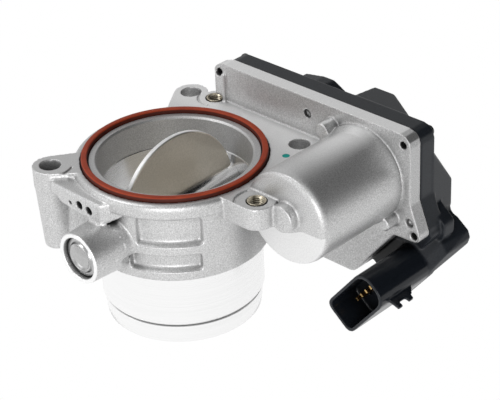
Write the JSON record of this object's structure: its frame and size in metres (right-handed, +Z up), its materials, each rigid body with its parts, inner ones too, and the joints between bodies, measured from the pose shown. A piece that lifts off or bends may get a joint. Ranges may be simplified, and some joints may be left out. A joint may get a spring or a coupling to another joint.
{
  "type": "throttle body",
  "caption": "Electronic throttle body: cast housing with bore, flange and motor, butterfly plate on a cross shaft, gear case with cover and plug shroud.",
  "frame": {"origin": "bore axis at the top face of the flange", "axes": "+Z up the bore away from the spigot, +X along the throttle shaft towards the gear case, +Y away from the motor"},
  "size_m": [0.1231, 0.1284, 0.082],
  "materials": {
    "cast_aluminium": "fine cast, blasted",
    "silicone": "moulded silicone",
    "brass": "machined",
    "bronze": "sintered",
    "copper": "wound armature",
    "steel": "ground",
    "valve_metal": "rolled sheet",
    "magnet": "sintered",
    "gear_plastic": "moulded",
    "black_plastic": "moulded, glass filled",
    "rubber": "moulded",
    "gold": "plated",
    "circuit_board": "lacquered"
  },
  "bodies": {
    "root": {"housing": "cast_aluminium", "bore_seal": "silicone", "insert_motor_side": "brass", "insert_gear_side": "brass", "shaft_end_plug": "steel", "shaft_bearing_far": "steel", "shaft_bearing_gear": "steel", "shaft_seal_far": "rubber", "shaft_seal_gear": "rubber", "return_spring": "steel", "open_stop_screw": "steel", "intermediate_pin": "steel", "cover_seal": "rubber", "motor_can": "steel", "motor_bush_rear": "bronze", "motor_bush_front": "bronze", "motor_end_plate": "steel", "motor_screw_1": "steel", "motor_screw_2": "steel", "motor_magnet_1": "magnet", "motor_magnet_2": "magnet", "gear_cover": "black_plastic", "sensor_board": "circuit_board", "connector_pin_1": "gold", "cover_screw_1": "steel", "connector_pin_2": "gold", "cover_screw_2": "steel", "connector_pin_3": "gold", "cover_screw_3": "steel", "connector_pin_4": "gold", "cover_screw_4": "steel", "connector_pin_5": "gold", "cover_screw_5": "steel"},
    "throttle": {"throttle_shaft": "steel", "throttle_plate": "valve_metal", "plate_screw_1": "steel", "plate_screw_2": "steel", "throttle_gear": "gear_plastic", "sensor_magnet": "magnet"},
    "intermediate": {"intermediate_gear": "gear_plastic"},
    "rotor": {"motor_rotor": "copper", "motor_pinion": "brass"}
  },
  "joints": [
    {"name": "motor_turn", "type": "hinge", "parent": "root", "child": "rotor", "pos_m": [0.03, -0.0564, -0.0065], "axis": [-1, 0, 0], "range_deg": [0, 1404]},
    {"name": "intermediate_turn", "type": "hinge", "parent": "root", "child": "intermediate", "pos_m": [0.055, -0.03281, -0.01835], "axis": [1, 0, 0], "range_deg": [0, 313]},
    {"name": "throttle_turn", "type": "hinge", "parent": "root", "child": "throttle", "pos_m": [0, 0, -0.0219], "axis": [-1, 0, 0], "range_deg": [0, 84.1], "stiffness_Nm_per_rad": 0.1, "springref_deg": -28.65}
  ],
  "couplings": [
    {"joint": "intermediate_turn", "follows": "motor_turn", "ratio": 0.22222},
    {"joint": "throttle_turn", "follows": "motor_turn", "ratio": 0.059829}
  ]
}
